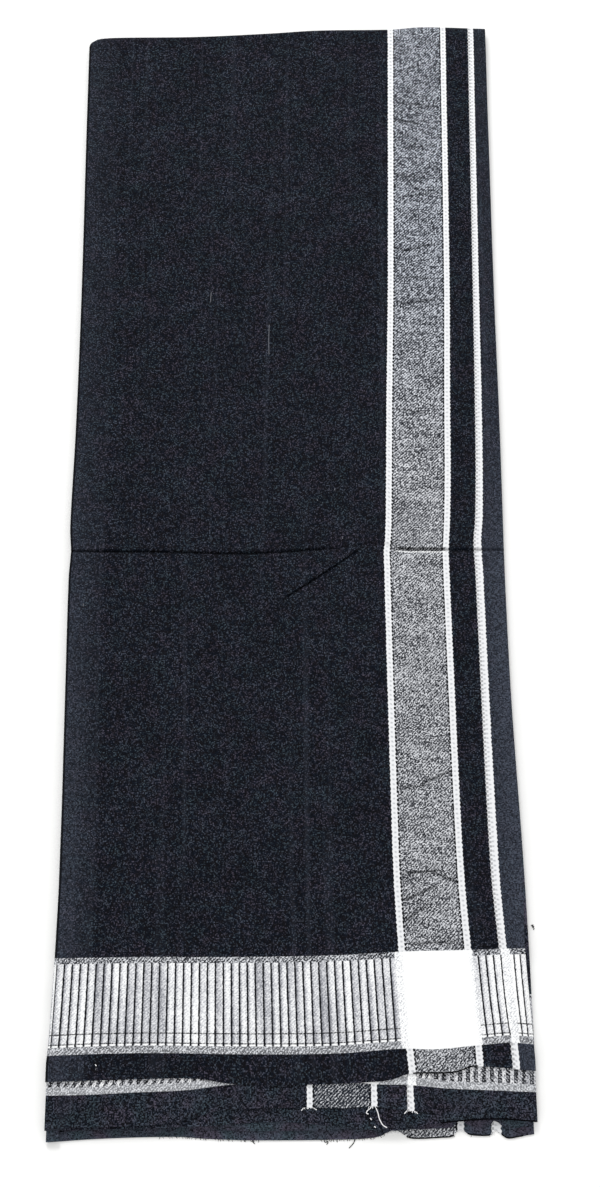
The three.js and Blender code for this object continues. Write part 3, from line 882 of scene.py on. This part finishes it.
def cotton_with_silver(name, back=False, fade=0.0, edges=False):
    material = new_material(name)
    cloth = Cloth(material.node_tree)
    add = cloth.add
    colour, grain = black_ground(cloth, fade)
    if edges:
        colour = sheen_wear_and_fold_shade(cloth, colour, grain)
    silver, speck, wave = silver_yarn(cloth)
    border = cloth.between(cloth.across, WHITE_LINES["first"], WHITE_LINES["second"])
    border_silver = dull_silver(cloth, speck, wave) if back else silver
    if edges:
        # with painted shade in the wrinkles of the border
        border_silver = wrinkle_shade(cloth, silver, speck)
    colour = add(MIX, border, colour, border_silver, **BLEND)
    colour = white_lines(cloth, colour, back)
    # Painted shade and highlight along the creases; the shade also lowers the specular and the sheen
    colour, crease_shade = crease_shade_and_highlight(cloth, colour, border, speck)
    band, in_band = ribbed_band(cloth, silver, speck, back)
    colour = add(MIX, in_band, colour, band, **BLEND)
    shiny = add(MATHS, border, in_band, **LARGER)
    height = add(MATHS, speck, grain)
    surface = add(
        "ShaderNodeBsdfPrincipled",
        named={
            "Base Color": colour,
            "Metallic": add(MATHS, shiny, 0.15, **TIMES),
            "Roughness": add(RANGE, shiny, 0.0, 1.0, 0.9, 0.6),
            "Normal": add("ShaderNodeBump", named={"Strength": 0.3, "Distance": 0.0003, "Height": height}),
            "Specular IOR Level": add(RANGE, crease_shade, 0.0, 1.0, 0.05, 0.0),
            "Sheen Weight": add(RANGE, crease_shade, 0.0, 1.0, 0.018, 0.0),
            "Sheen Roughness": 0.5,
        },
    )
    add("ShaderNodeOutputMaterial", surface)
    return material


def matt(name, colour, roughness=0.9, specular=0.02):
    """A matt material of one colour, such as cotton yarn or uncoated paper."""
    material = new_material(name)
    add = adder(material.node_tree)
    named = {"Base Color": linear(colour), "Roughness": roughness, "Specular IOR Level": specular}
    add("ShaderNodeOutputMaterial", add("ShaderNodeBsdfPrincipled", named=named))
    return material


COTTON = cotton_with_silver("black cotton with silver borders", edges=True)
COTTON_BACK = cotton_with_silver("back of the black cotton", back=True, fade=0.14)
# A paler copy of the cotton for the hidden folds and the lowest layer, which show at the near end below
# the upper layers
COTTON_PALER = cotton_with_silver("black cotton, paler", fade=0.42)
BLACK_YARN = matt("black cotton yarn", 0x050507)
GREY_YARN = matt("grey cotton yarn", 0x75777D)
WHITE_YARN = matt("white cotton yarn", 0xF2F2F3)
print("Cloth finish:", len(COTTON.node_tree.nodes), "nodes")

# %% [markdown]
# ## The four pieces of cloth
# What shows is one length of cloth, but the folds part it into stretches: the top layer with the
# start of its turn under the far fold, the second and third layers at the near end, the hidden
# folds between, and the lowest layer. Points lie closer together at the crease and the wrinkles.


# %% Stations
def spaced(*stretches):
    """Stations along the top face: from, to and the step of each stretch."""
    return np.concatenate([np.arange(start, stop, step) for start, stop, step in stretches])


NEAR_STATIONS = spaced((-385, -308, 4.0), (-308, INNER_FOLDS_STOP, 1.8))
MAIN_STATIONS = spaced(
    (INNER_FOLDS_STOP, -240, 1.8), (-240, -48, 4.0), (-48, -5, 1.8), (-5, 8, 0.55), (8, 290, 4.4),
    (290, 450, 3.0), (450, TURN_START, 4.0),
)
TURN_STATIONS = np.linspace(TURN_START, TURN_END, 15)
UNDER_STATIONS = TURN_END + (TURN_START - spaced((-400, 440, 6.0))[::-1])
TO_RAW_END = np.linspace(1, 0.12, 7)


def raw_line(columns, back=0.0):
    return lambda x, under: read(columns, x) + back


# %% Top layer
FRONT_TAIL = 3.0
to_front_end = {
    "stations": np.full(len(TO_RAW_END), -385.0), "edge": "selvedge",
    "raw_end": raw_line(FRONT_END), "shares": TO_RAW_END,
}
up_and_over = np.concatenate([NEAR_STATIONS, MAIN_STATIONS, TURN_STATIONS, [TURN_END + FRONT_TAIL]])
top_layer = cloth_wall(
    "top_layer", panel(WALL), [to_front_end, {"stations": up_and_over, "edge": "selvedge"}],
    top_layout, COTTON,
)

# %% Second and third layers
to_inner_ends = {
    "stations": np.full(len(TO_RAW_END), -408.0), "edge": "ridge", "shares": TO_RAW_END,
    "raw_end": lambda x, under: lerp(
        read(SECOND_END, x), read(THIRD_END, x), under
    ),
}
inner_stations = np.concatenate([spaced((-408, -385, 3.0)), NEAR_STATIONS, [INNER_FOLDS_STOP]])
second_and_third_layers = cloth_wall(
    "second_and_third_layers", inner_folds(),
    [to_inner_ends, {"stations": inner_stations, "edge": "ridge"}], inner_layout, COTTON_BACK,
)

# %% Hidden folds
hidden_stations = np.concatenate(
    [[INNER_FOLDS_STOP + GAP], MAIN_STATIONS[1:], TURN_STATIONS[1:-1], UNDER_STATIONS]
)


def hidden_folds():
    """The hidden layers as one body, whose raw ends stand back from each other in steps."""
    grids = []
    for side in (0, 1):
        rows = [place(slab(HALF_DEPTH)[side], hidden_stations, "ridge")]
        for back, height in zip(HIDDEN_STEPS["back"], HIDDEN_STEPS["height"]):
            end = raw_line(LOWEST_END, back)
            far_station = [TURN_END + TURN_START - NEAR_LOWEST]
            rows.append(place(slab(height)[side], far_station, "ridge", end, (1,)))
        grids.append(np.concatenate(rows))
    outer, inner = grids
    cloth = np.concatenate([plain_layout(g).reshape(-1, 2) for g in grids])
    points = np.concatenate([outer.reshape(-1, 3), inner.reshape(-1, 3)])
    return new_mesh("hidden_folds", points, close_grids(*outer.shape[:2]), COTTON_PALER, cloth)


hidden = hidden_folds()
print("hidden_folds:", len(hidden.data.polygons), "faces")

# %% Lowest layer
to_lowest_end = {
    "stations": np.full(len(TO_RAW_END), UNDER_STATIONS[-1]), "edge": "selvedge",
    "raw_end": raw_line(LOWEST_END), "shares": TO_RAW_END[::-1],
}
lowest_stations = np.concatenate([[TURN_END + FRONT_TAIL + GAP], UNDER_STATIONS])
lowest_layer = cloth_wall(
    "lowest_layer", panel(WALL), [{"stations": lowest_stations, "edge": "selvedge"}, to_lowest_end],
    under_layout, COTTON_PALER,
)

# %% [markdown]
# ## Yarn that has come loose
# The cloth is cut, not hemmed, so the lengthwise yarns stand out of its raw ends: a short dark fuzz
# on the lowest layer, and white tufts where the thick white lines end. A few ends have slipped out
# farther and lie on the layer below or on the table. Geometry Nodes sets short bent yarns along a
# raw end at random, and a second tree turns a drawn path into a yarn.


# %% Yarn made by Geometry Nodes
def node_tree(name, **sizes):
    """A tree with a geometry input, a material input and named sizes; whole numbers are seeds."""
    tree = bpy.data.node_groups.new(name, "GeometryNodeTree")
    face = tree.interface
    face.new_socket("Geometry", in_out="INPUT", socket_type="NodeSocketGeometry")
    face.new_socket("Material", in_out="INPUT", socket_type="NodeSocketMaterial")
    for label, value in sizes.items():
        kind = "NodeSocketInt" if isinstance(value, int) else "NodeSocketFloat"
        face.new_socket(label, in_out="INPUT", socket_type=kind).default_value = value
    face.new_socket("Geometry", in_out="OUTPUT", socket_type="NodeSocketGeometry")
    add = adder(tree)
    source = tree.nodes.new("NodeGroupInput")
    return tree, add, {socket.name: socket for socket in source.outputs if socket.name}


def finish_tree(add, geometry, material):
    realized = add("GeometryNodeRealizeInstances", geometry)
    add("NodeGroupOutput", add("GeometryNodeSetMaterial", realized, named={"Material": material}))


def thickened(add, curve, radius, sides=5):
    ring = add("GeometryNodeCurvePrimitiveCircle", named={"Resolution": sides, "Radius": radius})
    return add("GeometryNodeCurveToMesh", curve, ring, named={"Fill Caps": True})


def tuft_tree():
    tree, add, sizes = node_tree(
        "yarn ends", pitch=0.8 * MM, length=1.2 * MM, radius=0.1 * MM, kept=0.8, seed=4
    )
    path = add("GeometryNodeMeshToCurve", sizes["Geometry"])
    points = add("GeometryNodeResampleCurve", path, named={"Length": sizes["pitch"]}, mode="LENGTH")
    rnd = "FunctionNodeRandomValue"
    kept = add(
        rnd, named={"Probability": sizes["kept"], "Seed": sizes["seed"]}, data_type="BOOLEAN", output=3
    )
    seeded = {"named": {"Seed": sizes["seed"]}, "data_type": "FLOAT_VECTOR"}
    turn = add(rnd, (-0.35, 0.0, -0.7), (0.1, 0.0, 0.7), **seeded)
    scale = add(rnd, (0.7, 0.35, 0.6), (1.3, 1.5, 1.2), **seeded)
    reach = add("ShaderNodeCombineXYZ", 0.0, add(MATHS, sizes["length"], -1.0, **TIMES), 0.0)
    knee = add("ShaderNodeVectorMath", reach, (0.35, 0.6, 0.5), **TIMES)
    side = add("ShaderNodeCombineXYZ", add(MATHS, sizes["length"], 0.3, **TIMES))
    end = add("ShaderNodeVectorMath", reach, side)
    bend = {"Start": (0.0, 0.0, 0.0), "Middle": knee, "End": end}
    yarn = add("GeometryNodeCurveQuadraticBezier", 4, named=bend)
    yarn = thickened(add, yarn, sizes["radius"], 4)
    tufts = add(
        "GeometryNodeInstanceOnPoints", points,
        named={"Selection": kept, "Instance": yarn, "Rotation": turn, "Scale": scale},
    )
    finish_tree(add, tufts, sizes["Material"])
    return tree


def path_tree():
    tree, add, sizes = node_tree("yarn along a path", step=0.6 * MM, radius=0.2 * MM)
    path = add("GeometryNodeMeshToCurve", sizes["Geometry"])
    smooth = add("GeometryNodeCurveSplineType", path, spline_type="CATMULL_ROM")
    smooth = add("GeometryNodeResampleCurve", smooth, named={"Length": sizes["step"]}, mode="LENGTH")
    finish_tree(add, thickened(add, smooth, sizes["radius"]), sizes["Material"])
    return tree


def grown(name, paths, tree, material, **sizes):
    """Runs a tree on paths in millimetres from the crease, and keeps the result as a plain mesh."""
    points = np.concatenate([np.asarray(path, float) for path in paths])
    ends = np.cumsum([len(path) for path in paths])
    edges = [(i, i + 1) for i in range(len(points) - 1) if i + 1 not in ends]
    source = new_mesh(name + " path", points, [], material, edges=edges)
    modifier = source.modifiers.new("yarn", "NODES")
    modifier.node_group = tree
    for socket in tree.interface.items_tree:
        if socket.in_out == "INPUT" and socket.name in sizes:
            modifier[socket.identifier] = sizes[socket.name]
        elif socket.in_out == "INPUT" and socket.name == "Material":
            modifier[socket.identifier] = material
    evaluated = source.evaluated_get(bpy.context.evaluated_depsgraph_get())
    mesh = bpy.data.meshes.new_from_object(evaluated)
    mesh.name = name
    source.modifiers.remove(modifier)
    bpy.data.objects.remove(source)
    mesh.materials.clear()
    mesh.materials.append(material)
    mesh.shade_smooth()
    print(f"{name}: {len(mesh.polygons)} faces")
    return put(name, mesh)


TUFTS, YARN = tuft_tree(), path_tree()

# %% Frayed raw ends
LOWEST_LEVEL = 0.35
THIRD_LEVEL = HEIGHT - 2 * LAYER + 0.15
SECOND_LEVEL = HEIGHT - LAYER - 0.35
INSET = 0.3  # a tuft starts this far inside the cloth


def along_end(columns, x0, x1, level, count=24):
    x = np.linspace(x0, x1, count)
    y = read(columns, x) + INSET
    sunk = drop(x, y) if columns is FRONT_END else 0.0
    return np.stack([x, y, np.full(count, level) - sunk], axis=-1)


BLACK_FUZZ = table(
    "x0 x1", (-92, -20), (20, 62), (63, 66.5), (77, 81), (111, 114.5), (121.5, 126), (138, 140.5),
    (144.5, 151),
)
WHITE_LOWEST = table("x0 x1", (67, 76), (116, 120.5), (140.6, 144))
WHITE_SECOND = table("x0 x1", (8.6, 14.6), (54.6, 59.6), (80.4, 86.6))
black_tufts = grown(
    "black_yarn_ends", [along_end(LOWEST_END, *span, LOWEST_LEVEL) for span in zip(*BLACK_FUZZ.values())],
    TUFTS, BLACK_YARN, pitch=0.9 * MM, length=1.3 * MM, radius=0.14 * MM, kept=0.55,
)
white_ends = [along_end(LOWEST_END, *span, LOWEST_LEVEL) for span in zip(*WHITE_LOWEST.values())]
white_ends += [along_end(SECOND_END, *span, SECOND_LEVEL) for span in zip(*WHITE_SECOND.values())]
white_tufts = grown(
    "white_yarn_ends", white_ends,
    TUFTS, WHITE_YARN, pitch=0.55 * MM, length=1.5 * MM, radius=0.2 * MM, kept=0.9,
)

# %% Long loose yarns
ON_THIRD, ON_TABLE, ON_TOP = THIRD_LEVEL + 0.2, 0.05, HEIGHT + 0.2


def lying(level, *paths):
    """Paths that start in the cloth's edge and lie on the surface at a level."""
    return [np.array([(x, y, level) for x, y in path]) for path in paths]


loose_white = grown(
    "loose_white_yarn",
    lying(
        ON_THIRD,
        [(59.1, -416.6), (60.4, -419.9), (61.4, -424.0), (63.7, -428.0), (66.5, -429.7)],
        [(56.6, -414.8), (55.4, -416.6), (53.2, -418.2), (52.4, -420.0), (53.8, -420.6)],
        [(8.6, -414.6), (8.2, -416.4), (6.9, -418.0)], [(14.4, -414.6), (15.6, -416.2), (17.6, -417.6)],
        [(80.6, -418.2), (79.8, -419.6), (78.8, -420.4)], [(86.4, -418.2), (87.3, -419.6), (88.2, -420.5)],
        [(55.0, -423.2), (55.8, -424.6)], [(57.6, -428.8), (58.7, -429.6)],
    ) + lying(ON_TOP, [(-138.0, -386.2), (-137.2, -387.2)]),
    YARN, WHITE_YARN, step=0.5 * MM, radius=0.38 * MM,
)
loose_black = grown(
    "loose_black_yarn",
    lying(
        ON_TABLE,
        [(44.8, -436.2), (43.6, -439.0), (41.9, -441.2), (40.0, -443.0)],
        [(22.6, -436.4), (23.2, -439.0), (25.4, -438.6), (25.0, -440.0), (24.2, -440.4)],
        [(-27.9, -436.0), (-27.2, -438.4), (-25.6, -439.9)],
        # A small knot beside the right margin
        [(174.8, -289.6), (176.5, -289.4), (175.0, -290.2), (176.8, -290.5), (175.6, -291.1),
         (176.7, -291.7), (176.3, -292.9)],
    ),
    YARN, BLACK_YARN, step=0.5 * MM, radius=0.28 * MM,
)
ALONG_LOWEST = ((80.5, 113.5), (123, 139), (147, 162))
last_yarns = grown(
    "last_weft_yarns",
    [
        along_end(FRONT_END, 85.5, 131.5, HEIGHT - 0.05),
        along_end(THIRD_END, 104, 171, THIRD_LEVEL + 0.1),
        *(along_end(LOWEST_END, *span, LOWEST_LEVEL + 0.2) for span in ALONG_LOWEST),
    ],
    YARN, BLACK_YARN, step=1.2 * MM, radius=0.52 * MM,
)
slubs = grown(
    "slubs",
    lying(
        ON_TOP,
        [(-63.2, 225), (-63.6, 216)], [(-15.6, 195), (-16.0, 181), (-15.8, 168)],
        [(-158.4, -43.6), (-158.5, -45.8)], [(-137.3, -388.4), (-137.6, -390.0)],
        [(-110.2, 18.2), (-109.8, 16.8)], [(41.6, 9.8), (41.4, 8.2)], [(36.2, 51.0), (35.6, 49.0)],
        [(22.0, 41.6), (22.3, 40.4)], [(-105.0, -49.4), (-105.6, -50.8)],
    ),
    YARN, GREY_YARN, step=1.0 * MM, radius=0.25 * MM,
)

# %% [markdown]
# ## Setting
# The pack lies on a plain white surface in soft studio light. A white sky lights it from all round,
# so its shadow is faint. One broad lamp beyond the far fold gives each crease a dark far side and a
# bright near side.
# The camera looks down steeply from the near end, as the photographer did.


# %% Floor, light and camera
FLOOR = {"half": 4.0, "level": -0.0003}  # metres


def plain_floor():
    half, level = FLOOR.values()
    mesh = bpy.data.meshes.new("floor")
    corners = [(x * half, y * half, level) for x, y in ((-1, -1), (1, -1), (1, 1), (-1, 1))]
    mesh.from_pydata(corners, [], [(0, 1, 2, 3)])
    mesh.materials.append(matt("white paper", 0xF7F7F6, 0.95, 0.1))
    return put("floor", mesh)


floor = plain_floor()
scene = bpy.context.scene
scene.view_settings.view_transform = "Standard"
world = bpy.data.worlds.new("studio")
world.use_nodes = True
sky = world.node_tree.nodes["Background"].inputs
sky["Color"].default_value = (1.0, 1.0, 1.0, 1.0)
sky["Strength"].default_value = 0.98
scene.world = world

LAMP = {"place": (-0.6, 2.4, 2.4), "aim": (0.0, 0.0, 0.0), "size": 1.1, "power": 45.0}
lamp_data = bpy.data.lights.new("window light", "AREA")
lamp_data.size = LAMP["size"]
lamp_data.energy = LAMP["power"]
lamp = put("window_light", lamp_data)
lamp.location = LAMP["place"]
lamp.rotation_euler = (Vector(LAMP["aim"]) - Vector(LAMP["place"])).to_track_quat("-Z", "Y").to_euler()

CAMERA = {"place": (8.73, -492.2, 1263.2), "lens": 52.26, "tilt": 19.0, "roll": 0.344}


def photo_camera():
    """Turned up from looking straight down by its tilt, after a small roll about its own axis."""
    data = bpy.data.cameras.new("camera")
    data.lens, data.sensor_width, data.clip_end = CAMERA["lens"], 36.0, 20.0
    camera = put("camera", data)
    tilt = Matrix.Rotation(math.radians(CAMERA["tilt"]), 4, "X")
    roll = Matrix.Rotation(-math.radians(CAMERA["roll"]), 4, "Z")
    camera.matrix_world = Matrix.Translation(Vector(CAMERA["place"]) * MM) @ tilt @ roll
    scene.camera = camera


photo_camera()

# %% Bodies, with the solids that the cloth stands in for hidden
for piece, node in (
    (top_layer, "front_panel"),
    (second_and_third_layers, "inner_fold_end"),
    (hidden, "hidden_layers"),
    (lowest_layer, "back_panel"),
):
    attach(piece, "root")
    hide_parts(node)
for yarn in (black_tufts, white_tufts, loose_white, loose_black, last_yarns, slubs):
    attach(yarn, "root")
